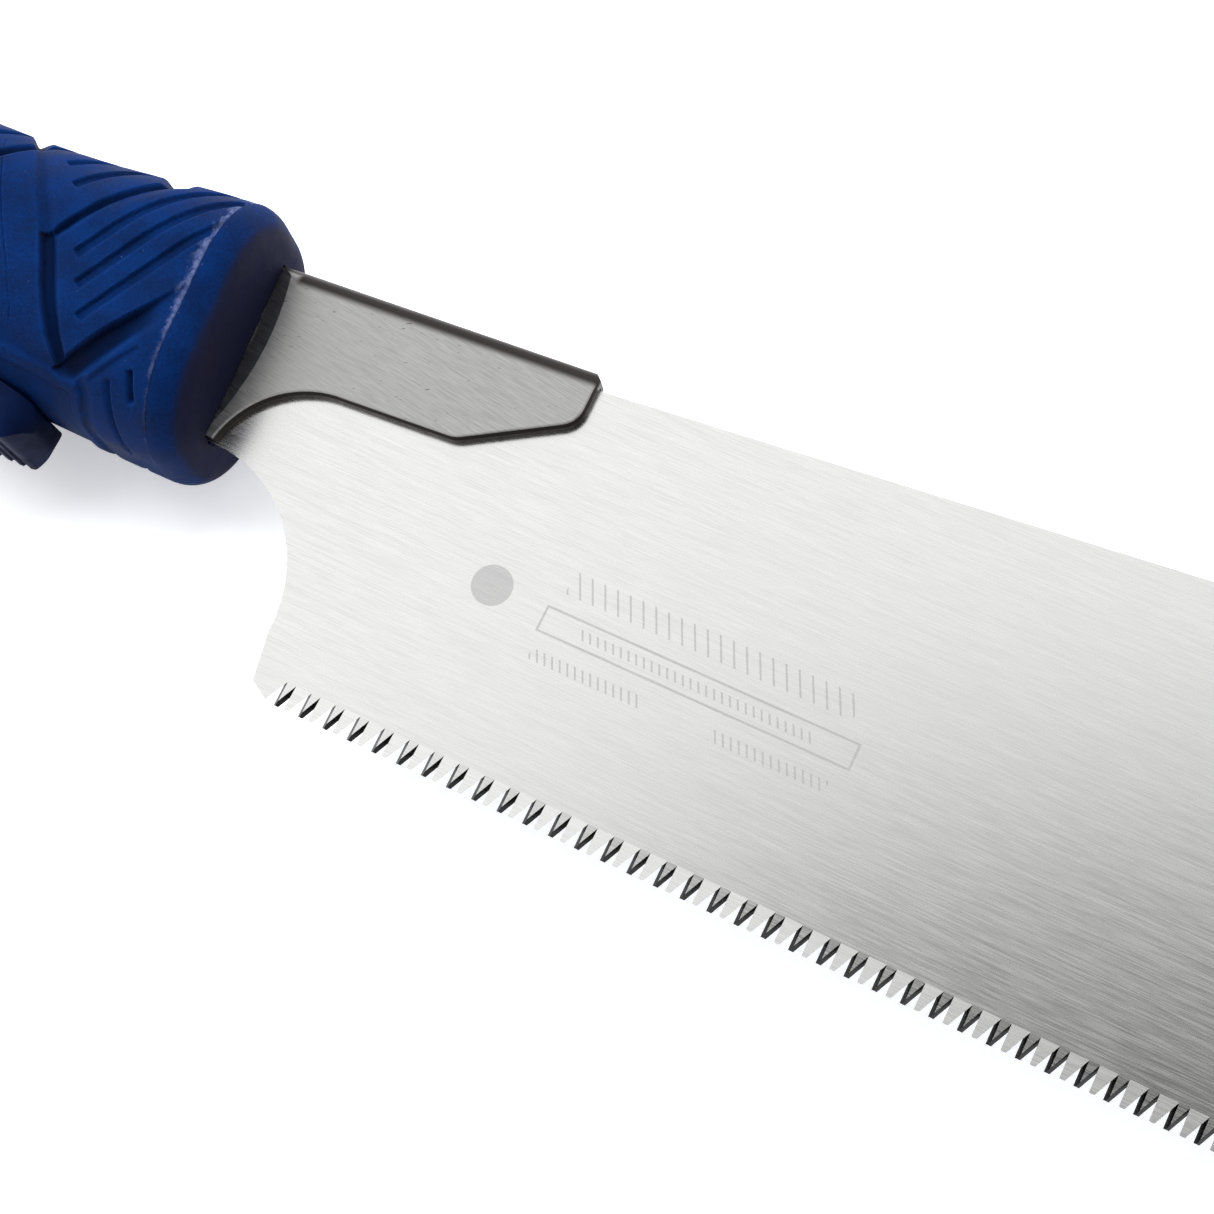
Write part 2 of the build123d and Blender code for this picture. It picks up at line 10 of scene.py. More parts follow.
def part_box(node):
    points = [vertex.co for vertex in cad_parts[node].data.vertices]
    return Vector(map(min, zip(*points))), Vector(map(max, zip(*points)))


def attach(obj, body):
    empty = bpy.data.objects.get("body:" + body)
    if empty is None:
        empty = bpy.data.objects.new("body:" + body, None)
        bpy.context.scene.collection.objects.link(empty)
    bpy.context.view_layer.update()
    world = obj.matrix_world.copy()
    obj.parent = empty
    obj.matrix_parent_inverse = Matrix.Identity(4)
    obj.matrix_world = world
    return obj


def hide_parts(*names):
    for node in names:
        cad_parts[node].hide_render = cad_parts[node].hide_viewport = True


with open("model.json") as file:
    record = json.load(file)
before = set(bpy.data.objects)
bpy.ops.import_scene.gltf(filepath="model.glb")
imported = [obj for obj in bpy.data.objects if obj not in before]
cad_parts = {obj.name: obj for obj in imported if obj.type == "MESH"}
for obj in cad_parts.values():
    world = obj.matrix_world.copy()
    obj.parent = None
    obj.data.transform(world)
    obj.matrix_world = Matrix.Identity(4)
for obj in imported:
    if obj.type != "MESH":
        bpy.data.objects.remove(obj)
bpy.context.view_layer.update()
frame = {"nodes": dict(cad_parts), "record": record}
nodes = frame["nodes"]
MM = 0.001

# The saw's working axes, in millimetres: +X along the teeth to the toe, +Y up to the back, +Z across
# the blade's mid-plane, from the root of the first gullet.
BLADE_LOW, BLADE_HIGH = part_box("blade")
TOE_X = 183.5
TOOTH_DEPTH = 2.8
ORIGIN = Vector(
    (BLADE_HIGH.x - TOE_X * MM, BLADE_LOW.y + TOOTH_DEPTH * MM, (BLADE_LOW.z + BLADE_HIGH.z) / 2)
)
PITCH = 1.5
TOOTH_SET = 0.14

# The grip: seam of the front collar, rear end, rubber and corner sizes, and the lever's opening.
SEAM_X, SEAM_TILT, NOSE_Y = -25.9, 5.0, 31.0
CAP_X = -166.0
RUBBER_T = 2.2
CORNER_R = 11.0
OPENING = (-69.0, -34.8, 8.1, 24.6)  # low x, high x, half width, roof y
OPENING_CORNER = 7.6

# The moulded pattern's repeat and groove slant, and the grid that carries it.
MOTIF = 16.5
GROOVE_ANGLE = 59.5
GRID_ROWS = 384
GRID_STEP = 0.148
FINE_TO_X = -66.0


def at(x, y, z):
    """A working point, in metres of the row frame."""
    return ORIGIN + Vector((x, y, z)) * MM


# ================================================================ materials
class Surface:
    """One Principled shader with procedural detail, worked out in millimetres of the saw's axes."""

    def __init__(self, name, colour, roughness, metallic=0.0, specular=0.5):
        self.material = bpy.data.materials.new(name)
        self.material.use_nodes = True
        self.tree = self.material.node_tree
        self.shader = self.tree.nodes["Principled BSDF"]
        self.shader.inputs["Base Color"].default_value = (*colour, 1)
        self.shader.inputs["Roughness"].default_value = roughness
        self.shader.inputs["Metallic"].default_value = metallic
        self.shader.inputs["Specular IOR Level"].default_value = specular
        coordinates = self.node("ShaderNodeTexCoord")
        scaled = self.node("ShaderNodeMapping", vector_type="POINT")
        scaled.inputs["Location"].default_value = -ORIGIN / MM
        scaled.inputs["Scale"].default_value = (1 / MM, 1 / MM, 1 / MM)
        self.join(coordinates.outputs["Object"], scaled.inputs["Vector"])
        self.place = scaled.outputs["Vector"]
        self.facing = coordinates.outputs["Normal"]

    def node(self, kind, **settings):
        made = self.tree.nodes.new(kind)
        for key, value in settings.items():
            setattr(made, key, value)
        return made

    def join(self, source, target):
        if isinstance(source, bpy.types.NodeSocket):
            self.tree.links.new(source, target)
        else:
            target.default_value = source

    def math(self, operation, *values, clamp=False):
        made = self.node("ShaderNodeMath", operation=operation, use_clamp=clamp)
        for slot, value in zip(made.inputs, values):
            self.join(value, slot)
        return made.outputs[0]

    def axes(self, vector):
        parts = self.node("ShaderNodeSeparateXYZ")
        self.join(vector, parts.inputs[0])
        return parts.outputs[0], parts.outputs[1], parts.outputs[2]

    def span(self, value, low, high, to_low=0.0, to_high=1.0):
        """A smooth step from to_low to to_high as the value goes from low to high."""
        made = self.node("ShaderNodeMapRange", interpolation_type="SMOOTHSTEP")
        names = ("Value", "From Min", "From Max", "To Min", "To Max")
        for slot, item in zip(names, (value, low, high, to_low, to_high)):
            self.join(item, made.inputs[slot])
        return made.outputs[0]

    def noise(self, per_mm, detail=2.0, rough=0.5, turn=0.0):
        """Noise with its own fineness along each axis, in cells per millimetre."""
        stretched = self.node("ShaderNodeMapping", vector_type="POINT")
        turned = self.node("ShaderNodeMapping", vector_type="POINT")
        turned.inputs["Rotation"].default_value = (0, 0, math.radians(turn))
        stretched.inputs["Scale"].default_value = per_mm
        self.join(self.place, turned.inputs["Vector"])
        self.join(turned.outputs["Vector"], stretched.inputs["Vector"])
        made = self.node("ShaderNodeTexNoise")
        made.inputs["Scale"].default_value = 1
        made.inputs["Detail"].default_value = detail
        made.inputs["Roughness"].default_value = rough
        self.join(stretched.outputs["Vector"], made.inputs["Vector"])
        return made.outputs["Fac"]

    def blend(self, share, first, second):
        made = self.node("ShaderNodeMix", data_type="RGBA")
        self.join(share, made.inputs[0])
        for slot, item in ((6, first), (7, second)):
            self.join((*item, 1) if isinstance(item, tuple) else item, made.inputs[slot])
        return made.outputs[2]

    def attribute(self, name):
        return self.node("ShaderNodeAttribute", attribute_name=name).outputs["Fac"]

    def paint(self, colour):
        self.join(colour, self.shader.inputs["Base Color"])

    def rough(self, value):
        self.join(value, self.shader.inputs["Roughness"])

    def bump(self, height, depth_mm, strength):
        made = self.node("ShaderNodeBump")
        made.inputs["Distance"].default_value = depth_mm * MM
        made.inputs["Strength"].default_value = strength
        self.join(height, made.inputs["Height"])
        self.join(made.outputs["Normal"], self.shader.inputs["Normal"])


def shade(colour, factor):
    return tuple(c * factor for c in colour)


def rubber(name, colour, pale, shaded_and_worn=False):
    """Matt moulded rubber: cloudy tone, spark-eroded grain and a few pale specks."""
    skin = Surface(name, colour, 0.7, specular=0.07)
    cloud = skin.noise((0.25, 0.25, 0.25), detail=3)
    mottle = skin.noise((3.5, 3.5, 3.5), detail=2)
    tone = skin.math("ADD", skin.math("MULTIPLY", cloud, 0.6), skin.math("MULTIPLY", mottle, 0.4))
    base = skin.blend(skin.span(tone, 0.35, 0.65), shade(colour, 0.75), shade(colour, 1.3))
    specks = skin.span(skin.noise((2.6, 2.6, 2.6), detail=1), 0.79, 0.81)
    base = skin.blend(skin.math("MULTIPLY", specks, 0.4), base, pale)
    if shaded_and_worn:
        # The grip adds painted shade and highlights on its relief, and a pale band behind the seam.
        base = grip_shade_and_wear(skin, base, colour, cloud)
        base = seam_scuffs_and_highlight(skin, base, pale)
    skin.paint(base)
    skin.rough(skin.span(cloud, 0.3, 0.7, 0.62, 0.78))
    grain = skin.noise((9, 9, 9), detail=2)
    skin.bump(grain, 0.035, 0.8)
    return skin.material


def grip_shade_and_wear(skin, base, colour, cloud):
    """Painted shade in the moulded valleys, with some dirt; painted highlights on the ridges, partly wear;
    and painted shade on the front wall.
    """
    # Painted shade, with some grime: the deeper a point lies in the relief, the darker the rubber.
    sunk = skin.attribute("sunk")
    base = skin.blend(skin.span(sunk, 0.1, 1.3, 0.0, 0.85), base, shade(colour, 0.25))
    # Painted highlight, partly wear: ridges standing proud of their neighbours get a lighter copy of the
    # rubber.
    proud = skin.attribute("proud")
    ridge_wear_and_highlight = skin.math("MULTIPLY", proud, skin.span(cloud, 0.3, 0.7, 0.12, 0.4))
    base = skin.blend(ridge_wear_and_highlight, base, tuple(c * 3.2 + 0.004 for c in colour))
    # Painted shade: faces turned towards the toe are darkened to a dull near-black.
    forward = skin.axes(skin.facing)[0]
    return skin.blend(skin.span(forward, 0.70, 0.93, 0.0, 0.8), base, (0.012, 0.010, 0.021))


def seam_scuffs_and_highlight(skin, base, pale):
    """Pale scuffs on the grip just behind the collar's seam, partly a painted highlight on the grip's
    raised edge, wider towards the spine.
    """
    x, y, _ = skin.axes(skin.place)
    tilt = math.tan(math.radians(SEAM_TILT))
    leaned = skin.math("ADD", x, skin.math("MULTIPLY", skin.math("SUBTRACT", y, NOSE_Y), tilt))
    back = skin.math("SUBTRACT", SEAM_X, leaned)
    patchy = skin.noise((0.8, 0.5, 0.5), detail=5, rough=0.8)
    reach = skin.span(patchy, 0.3, 0.7, 0.4, 1.9)
    reach = skin.math("MULTIPLY", reach, skin.span(y, 17.0, 34.0, 0.35, 1.0))
    seam_band = skin.math("MULTIPLY", skin.span(back, reach, 0.0), skin.span(y, 17.0, 32.0, 0.3, 1.0))
    broken = skin.span(skin.noise((1.6, 1.6, 1.6), detail=4), 0.35, 0.6, 0.35, 0.9)
    # Partly scuffs, partly a painted highlight: the pale band behind the seam.
    scuff_and_highlight = skin.math("MULTIPLY", broken, seam_band)
    return skin.blend(skin.math("MULTIPLY", scuff_and_highlight, skin.span(back, 0.0, 0.1)), base, pale)


def blade_steel():
    """Fine lengthwise brushing, painted shade on the filed bevels of the teeth, and faint etched marks."""
    plate = Surface("blade_steel", (0.80, 0.80, 0.79), 0.3, metallic=1.0)
    fine = plate.noise((0.16, 5.5, 0.5), detail=4, rough=0.75)
    broad = plate.noise((0.04, 0.9, 0.5), detail=2)
    streaks = plate.math("ADD", plate.math("MULTIPLY", fine, 0.85), plate.math("MULTIPLY", broad, 0.15))
    base = plate.blend(plate.span(streaks, 0.3, 0.7), (0.70, 0.70, 0.695), (0.86, 0.86, 0.85))
    mark = etched_marks(plate)
    base = plate.blend(plate.math("MULTIPLY", mark, 0.32), base, (0.36, 0.36, 0.37))
    # Painted shade: faces of the teeth turned away from the blade's sides are darkened near black.
    y = plate.axes(plate.place)[1]
    up = plate.math("ABSOLUTE", plate.axes(plate.facing)[2])
    filed = plate.math("MULTIPLY", plate.span(up, 0.9, 0.8), plate.span(y, 0.35, 0.05))
    base = plate.blend(filed, base, (0.035, 0.034, 0.033))
    plate.paint(base)
    scatter = plate.span(streaks, 0.3, 0.7, 0.21, 0.3)
    plate.rough(plate.math("ADD", scatter, plate.math("MULTIPLY", mark, 0.2)))
    plate.bump(fine, 0.0015, 0.5)
    return plate.material


def etched_marks(plate):
    """Marks that say nothing: a plain disc, a frame, and bands of short bars."""
    x, y, _ = plate.axes(plate.place)

    def off(value, centre):
        return plate.math("ABSOLUTE", plate.math("SUBTRACT", value, centre))

    def box(centre_x, centre_y, half_x, half_y, edge=0.08):
        beside = plate.math("SUBTRACT", off(x, centre_x), half_x)
        above = plate.math("SUBTRACT", off(y, centre_y), half_y)
        return plate.span(plate.math("MAXIMUM", beside, above), edge, 0.0)

    def hatch(period, share, lean):
        along = plate.math("ADD", x, plate.math("MULTIPLY", y, lean))
        cycle = plate.math("FRACT", plate.math("DIVIDE", along, period))
        return plate.span(off(cycle, 0.5), share / 2, share / 2 - 0.05)

    def both(first, second):
        return plate.math("MULTIPLY", first, second)

    squares = [plate.math("POWER", off(value, centre), 2.0) for value, centre in ((x, 15.4), (y, 18.6))]
    radius = plate.math("POWER", plate.math("ADD", *squares), 0.5)
    disc = plate.span(radius, 2.35, 2.25)
    outline = plate.math("SUBTRACT", box(39.9, 17.6, 18.0, 1.5), box(39.9, 17.6, 17.75, 1.25))
    rows = [
        both(box(39.9, 17.6, 13.5, 0.5), hatch(0.9, 0.3, 0.5)),
        both(box(39.5, 22.3, 16.5, 1.3), hatch(1.5, 0.2, 0.5)),
        both(box(29.0, 13.6, 6.5, 0.6), hatch(0.9, 0.3, 0.5)),
        both(box(50.0, 13.6, 6.5, 0.6), hatch(0.9, 0.3, 0.5)),
    ]
    total = disc
    for item in [outline] + rows:
        total = plate.math("ADD", total, item, clamp=True)
    print_grain = plate.span(plate.noise((4, 4, 4), detail=2), 0.2, 0.5, 0.55, 1.0)
    return plate.math("MULTIPLY", total, print_grain)


def socket_steel():
    """Satin sheet, brushed at a slant, with nicks, and painted shade where its edges are rounded and along
    the spine's fold.
    """
    sheet = Surface("socket_steel", (0.62, 0.62, 0.61), 0.4, metallic=1.0)
    streaks = sheet.noise((0.35, 9, 0.5), detail=3, rough=0.65, turn=8)
    base = sheet.blend(sheet.span(streaks, 0.3, 0.7), (0.37, 0.37, 0.36), (0.54, 0.54, 0.53))
    nick = sheet.span(sheet.noise((0.9, 3.4, 0.5), detail=1, turn=-25), 0.74, 0.78)
    base = sheet.blend(sheet.math("MULTIPLY", nick, 0.7), base, (0.12, 0.12, 0.12))
    # Painted shade: faces turned away from the sheet's sides, and a band just below the spine, are
    # darkened.
    up = sheet.math("ABSOLUTE", sheet.axes(sheet.facing)[2])
    turned_away = sheet.span(up, 0.95, 0.8)
    x, y, _ = sheet.axes(sheet.place)
    spine_y = sheet.math("ADD", 43.9, sheet.math("MULTIPLY", x, 0.0602))
    below_fold = sheet.math("SUBTRACT", spine_y, y)
    fold = sheet.math("MULTIPLY", sheet.span(below_fold, 2.3, 1.3), sheet.span(x, -21.5, -20.5))
    edge_shade = sheet.math("MAXIMUM", turned_away, fold)
    base = sheet.blend(edge_shade, base, (0.05, 0.044, 0.042))
    sheet.paint(base)
    sheet.rough(sheet.span(streaks, 0.3, 0.7, 0.34, 0.48))
    sheet.bump(streaks, 0.006, 0.6)
    return sheet.material


def turned_metal(name, colour, roughness):
    """Small turned or drawn metal piece: faint bands and dull patches."""
    metal = Surface(name, colour, roughness, metallic=1.0)
    patches = metal.noise((1.2, 1.2, 1.2), detail=3)
    bands = metal.noise((0.4, 0.4, 9), detail=2)
    tone = metal.math("ADD", metal.math("MULTIPLY", patches, 0.5), metal.math("MULTIPLY", bands, 0.5))
    metal.paint(metal.blend(metal.span(tone, 0.35, 0.65), shade(colour, 0.75), colour))
    metal.rough(metal.span(tone, 0.35, 0.65, roughness + 0.12, roughness - 0.05))
    metal.bump(tone, 0.01, 0.5)
    return metal.material


def moulded_plastic(name, colour, roughness, grain_mm, specular=0.3):
    """Hard plastic with a spark-eroded skin and lighter, worn patches."""
    skin = Surface(name, colour, roughness, specular=specular)
    patches = skin.noise((0.3, 0.3, 0.3), detail=4)
    grain = skin.noise((6, 6, 6), detail=3)
    skin.paint(skin.blend(skin.span(patches, 0.35, 0.7), shade(colour, 0.75), shade(colour, 1.3)))
    skin.rough(skin.span(patches, 0.3, 0.7, roughness + 0.08, roughness - 0.08))
    skin.bump(grain, grain_mm, 0.7)
    return skin.material


# ================================================================ grip
# Handle stations: x, middle height, half height, half thickness.
STATIONS = np.array(
    [
        (-182.0, 27.8, 17.6, 13.0),
        (-166.0, 28.2, 16.6, 12.7),
        (-142.0, 29.0, 14.8, 12.1),
        (-110.0, 29.6, 15.5, 12.5),
        (-75.0, 30.0, 14.7, 12.0),
        (-43.0, 30.3, 15.1, 12.3),
        (-30.0, 31.0, 15.8, 12.9),
        (-18.0, 31.2, 15.9, 13.0),
    ]
)


def spline(x, xs, ys):
    """Natural cubic through the stations."""
    n = len(xs)
    h = np.diff(xs)
    system = np.eye(n)
    right = np.zeros(n)
    for i in range(1, n - 1):
        system[i, i - 1 : i + 2] = h[i - 1], 2 * (h[i - 1] + h[i]), h[i]
        right[i] = 6 * ((ys[i + 1] - ys[i]) / h[i] - (ys[i] - ys[i - 1]) / h[i - 1])
    bend = np.linalg.solve(system, right)
    k = np.clip(np.searchsorted(xs, x) - 1, 0, n - 2)
    a, b = xs[k + 1] - x, x - xs[k]
    curve = (bend[k] * a**3 + bend[k + 1] * b**3) / (6 * h[k])
    return curve + (ys[k] / h[k] - bend[k] * h[k] / 6) * a + (ys[k + 1] / h[k] - bend[k + 1] * h[k] / 6) * b


def section(x, turn, inset):
    """Point on the handle's rounded-rectangle section, its outward normal, and its arc from mid-side.

    turn runs from -1 at the middle of the belly to 1 at the middle of the spine."""
    middle, half_h, half_t = (spline(x, STATIONS[:, 0], STATIONS[:, i]) for i in (1, 2, 3))
    corner = CORNER_R - inset
    flat_y, flat_z = half_h - CORNER_R, half_t - CORNER_R
    quarter = flat_y + flat_z + corner * math.pi / 2
    along = np.abs(turn) * quarter
    angle = np.clip((along - flat_y) / corner, 0, math.pi / 2)
    over = np.clip(along - flat_y - corner * math.pi / 2, 0, None)
    sign = np.sign(turn)
    y = middle + sign * (np.minimum(along, flat_y) + corner * np.sin(angle))
    z = flat_z - over + corner * np.cos(angle)
    return y, z, sign * np.sin(angle), np.cos(angle), sign * along


def ramp(value, low, high):
    t = np.clip((value - low) / (high - low), 0, 1)
    return t * t * (3 - 2 * t)


def stroke(u, v, start, end, half_width, left_wall, right_wall, depth, end_wall=0.2):
    """Flat-floored channel from start to end. Its left wall is on the left when looking along it."""
    du, dv = end[0] - start[0], end[1] - start[1]
    length = math.hypot(du, dv)
    du, dv = du / length, dv / length
    along = (u - start[0]) * du + (v - start[1]) * dv
    left = (v - start[1]) * du - (u - start[0]) * dv
    inside = ramp(half_width + left_wall / 2 - left, 0, left_wall)
    inside = inside * ramp(half_width + right_wall / 2 + left, 0, right_wall)
    inside = inside * ramp(along, -end_wall, 0) * ramp(length - along, -end_wall, 0)
    return depth * inside


def valleys(u, v, shift, first):
    """Sloping valleys and panel grooves of one repeat of the moulded pattern.

    u runs along the handle and v round it from mid-side to the spine. Each channel has its ends, half
    width, left wall, right wall and depth."""

    def channel(start, end, *shape, **more):
        return stroke(u, v, (start[0] + shift, start[1]), (end[0] + shift, end[1]), *shape, **more)

    # From the spine down to the fork at mid-side, on towards the belly, and back up to the spine.
    belly_end = (-35.0, -17.5) if first else (-29.0, -26.0)
    spine_end = (-35.9, 14.9) if first else (-29.2, 26.0)
    cuts = [
        channel((-62.0, 26.0), (-53.4, 13.4), 0.6, 1.6, 1.3, 1.05, end_wall=0.8),
        channel((-53.4, 13.4), (-44.4, 1.2), 0.35, 2.4, 1.2, 0.85, end_wall=0.8),
        channel((-44.6, 1.6), (-36.2, -12.3), 0.75, 1.4, 0.6, 1.15, end_wall=0.5),
        channel((-36.2, -12.3), belly_end, 0.5, 1.4, 0.6, 0.9, end_wall=0.8),
        channel((-44.4, 0.9), spine_end, 0.35, 0.6, 1.6, 1.0, end_wall=0.5),
    ]
    # Thin line along the plain strap behind the fork.
    strap_line = [(-57.0, 11.5), (-50.9, 2.0), (-46.7, -3.7), (-44.2, -7.6), (-43.0, -11.4)]
    for start, end in zip(strap_line[:-1], strap_line[1:]):
        cuts.append(channel(start, end, 0.05, 0.2, 0.25, 0.25, end_wall=0.1))
    # Parallel grooves: three in the middle panel, which run longer in the first one, and two above.
    slope = math.tan(math.radians(GROOVE_ANGLE))
    for start_u, start_v, rear_v in ((-40.0, 0.5, 5.0), (-38.0, -2.8, 1.9), (-35.9, -6.3, -1.3)):
        end_v = 19.0 if first else rear_v
        end_u = start_u + (end_v - start_v) / slope
        cuts.append(channel((start_u, start_v), (end_u, end_v), 0.55, 0.4, 0.7, 0.5, end_wall=0.2))
    for start_u, start_v in ((-45.2, 8.4), (-48.3, 11.6)):
        end_u = start_u + (20.0 - start_v) / slope
        cuts.append(channel((start_u, start_v), (end_u, 20.0), 0.55, 0.4, 0.8, 0.5, end_wall=0.3))
    if first:
        # The deep valley, which fades out at the collar, and the saddle that turns over the spine.
        deep = channel((-36.2, -13.4), (-24.5, 1.6), 1.25, 0.5, 1.7, 1.3, end_wall=0.5)
        cuts.append(deep * (1 - 0.9 * ramp(u, -31.5, -26.0)))
        cuts.append(channel((-39.5, 9.0), (-35.9, 14.9), 0.1, 0.6, 4.5, 1.1, end_wall=3.0))
        cuts.append(channel((-36.0, 14.6), (-41.6, 26.6), 1.0, 2.4, 2.4, 1.2, end_wall=0.8))
    return cuts


def front_details(u, v):
    """Creases and dents of the short panel between the deep valley and the collar."""
    return [
        stroke(u, v, (-29.8, -12.0), (-27.8, -21.5), 0.05, 0.35, 1.9, 1.1, end_wall=0.7),
        stroke(u, v, (-27.7, -9.9), (-26.7, -13.2), 0.3, 0.3, 0.8, 0.8, end_wall=0.2),
        stroke(u, v, (-34.6, -14.9), (-28.1, -7.4), 0.05, 0.5, 2.8, 0.6, end_wall=0.8),
    ]


def lip(x, z, v):
    """Sunk band around the belly opening, which leaves a raised lip at its edge, and distance from it."""
    low_x, high_x, half_z, _ = OPENING
    dx = np.abs(x - (low_x + high_x) / 2) - (high_x - low_x) / 2
    dz = np.abs(z) - half_z
    away = np.hypot(np.maximum(dx, 0), np.maximum(dz, 0)) + np.minimum(np.maximum(dx, dz), 0)
    edge = 0.35 * ramp(0.35 - away, 0, 0.35)
    sunk = 0.4 * ramp(away, 1.2, 1.7) * ramp(3.4 - away, 0, 1.4)
    return np.where(v < 0, np.maximum(edge, sunk), 0), away


def relief(x, z, v):
    """How far the moulded surface lies inside the handle's plain form."""
    cuts = []
    for repeat in range(9):
        cuts += valleys(x, v, -MOTIF * repeat, repeat == 0)
    cuts += front_details(x, v)
    total = np.zeros_like(x)
    for cut in cuts:
        total = np.maximum(total, cut)
    lip_depth, away = lip(x, z, v)
    near = np.where(v < 0, ramp(away, 0.9, 1.6), 1)
    total = total * near * ramp(x, CAP_X + 4.0, CAP_X + 6.5)
    return np.maximum(total, lip_depth)


def grip_columns():
    """x of the grid's columns: close together where the pattern is seen near, wider behind."""
    edge = SEAM_X - np.array([0, 0.03, 0.09, 0.18, 0.3])
    near = np.arange(SEAM_X - 0.45, FINE_TO_X, -GRID_STEP)
    far = np.arange(near[-1] - 2 * GRID_STEP, CAP_X + 0.5, -2 * GRID_STEP)
    end = CAP_X + np.array([0.3, 0.18, 0.09, 0.03, 0])
    return np.concatenate([edge, near, far, end])


def edge_round(distance, radius):
    """Inset of a rounded edge at a distance from it."""
    left = np.clip(radius - distance, 0, radius)
    return radius - np.sqrt(radius**2 - left**2)


def grip_ring(columns, inset, patterned):
    """Grid of points around the handle, columns along it and rows round it, and the relief at each."""
    rows = GRID_ROWS
    half = np.linspace(-1, 1, rows // 2 + 1)
    turn = np.concatenate([half[:-1], -half[:-1]])
    side = np.concatenate([np.ones(rows // 2), -np.ones(rows // 2)])
    x = np.repeat(columns[:, None], rows, axis=1)
    turn = np.repeat(turn[None, :], len(columns), axis=0)
    lean = math.tan(math.radians(SEAM_TILT)) * ramp(x, -48.0, -30.0)
    for _ in range(3):
        y, z, ny, nz, v = section(x, turn, inset)
        x = columns[:, None] - (y - NOSE_Y) * lean
    drop = np.zeros_like(x)
    if patterned:
        drop = relief(x, z, v)
        drop = drop + edge_round(SEAM_X - columns, 0.3)[:, None] + edge_round(columns - CAP_X, 0.3)[:, None]
        y, z = y - ny * drop, z - nz * drop
    return np.stack([x, y, z * side], axis=-1), drop


def tube_mesh(name, rings, drop):
    """Closed tube wall from rings of points, each joined to the next and the last to the first.

    Each cell is split along the diagonal whose ends lie at the same depth, so a slanted wall stays
    sharp. Each point keeps how sunk it is, and how far it stands proud of its neighbours."""
    count, rows, _ = rings.shape
    mesh = bpy.data.meshes.new(name)
    points = rings.reshape(-1, 3) * MM + np.array(ORIGIN)
    i, j = np.meshgrid(np.arange(count), np.arange(rows), indexing="ij")
    i2, j2 = (i + 1) % count, (j + 1) % rows
    a, b, c, d = i * rows + j, i * rows + j2, i2 * rows + j2, i2 * rows + j
    level = drop.reshape(-1)
    along = np.abs(level[a] - level[c]) <= np.abs(level[b] - level[d])
    first = np.where(along[..., None], np.stack([a, b, c], -1), np.stack([a, b, d], -1))
    second = np.where(along[..., None], np.stack([a, c, d], -1), np.stack([b, c, d], -1))
    cells = np.concatenate([first.reshape(-1, 3), second.reshape(-1, 3)])
    mesh.from_pydata(points.tolist(), [], cells.tolist())
    around = (np.roll(drop, 2, 0) + np.roll(drop, -2, 0) + np.roll(drop, 1, 1) + np.roll(drop, -1, 1)) / 4
    for label, values in (("sunk", drop), ("proud", np.clip((around - drop) / 0.22, 0, 1))):
        mesh.attributes.new(label, "FLOAT", "POINT").data.foreach_set("value", values.reshape(-1))
    made = bpy.data.objects.new(name, mesh)
    bpy.context.scene.collection.objects.link(made)
    return made


def slot_cutter():
    """Round-cornered prism for the lever's opening through the belly."""
    low_x, high_x, half_z, roof = OPENING
    outline = []
    for centre_x, centre_z, start in (
        (high_x - OPENING_CORNER, half_z - OPENING_CORNER, 0),
        (low_x + OPENING_CORNER, half_z - OPENING_CORNER, 90),
        (low_x + OPENING_CORNER, -half_z + OPENING_CORNER, 180),
        (high_x - OPENING_CORNER, -half_z + OPENING_CORNER, 270),
    ):
        for step in range(13):
            angle = math.radians(start + step * 7.5)
            across, along = math.sin(angle), math.cos(angle)
            outline.append((centre_x + OPENING_CORNER * along, centre_z + OPENING_CORNER * across))
    form = bmesh.new()
    low = [form.verts.new(at(x, 4.0, z)) for x, z in outline]
    high = [form.verts.new(at(x, roof, z)) for x, z in outline]
    form.faces.new(low)
    form.faces.new(high[::-1])
    for a in range(len(outline)):
        b = (a + 1) % len(outline)
        form.faces.new((low[b], low[a], high[a], high[b]))
    bmesh.ops.recalc_face_normals(form, faces=form.faces)
    mesh = bpy.data.meshes.new("slot_cutter")
    form.to_mesh(mesh)
    made = bpy.data.objects.new("slot_cutter", mesh)
    bpy.context.scene.collection.objects.link(made)
    return made


def apply_modifiers(made):
    evaluated = made.evaluated_get(bpy.context.evaluated_depsgraph_get())
    finished = bpy.data.meshes.new_from_object(evaluated)
    made.modifiers.clear()
    made.data = finished


def smooth(made, angle):
    made.data.shade_smooth()
    made.data.set_sharp_from_angle(angle=math.radians(angle))


def make_grip():
    outer, outer_drop = grip_ring(grip_columns(), 0.0, True)
    inner, inner_drop = grip_ring(np.linspace(CAP_X, SEAM_X, 18), RUBBER_T, False)
    rings = np.concatenate([outer, inner])
    grip = tube_mesh("grip_rubber_sleeve", rings, np.concatenate([outer_drop, inner_drop]))
    form = bmesh.new()
    form.from_mesh(grip.data)
    bmesh.ops.recalc_face_normals(form, faces=form.faces)
    form.to_mesh(grip.data)
    form.free()
    # Known fault: this cut opens only the sleeve's inner wall. Its outer skin stays closed round the lever.
    cutter = slot_cutter()
    cut = grip.modifiers.new("opening", "BOOLEAN")
    cut.operation = "DIFFERENCE"
    cut.solver = "FAST"
    cut.object = cutter
    apply_modifiers(grip)
    bpy.data.objects.remove(cutter)
    smooth(grip, 50)
    return grip


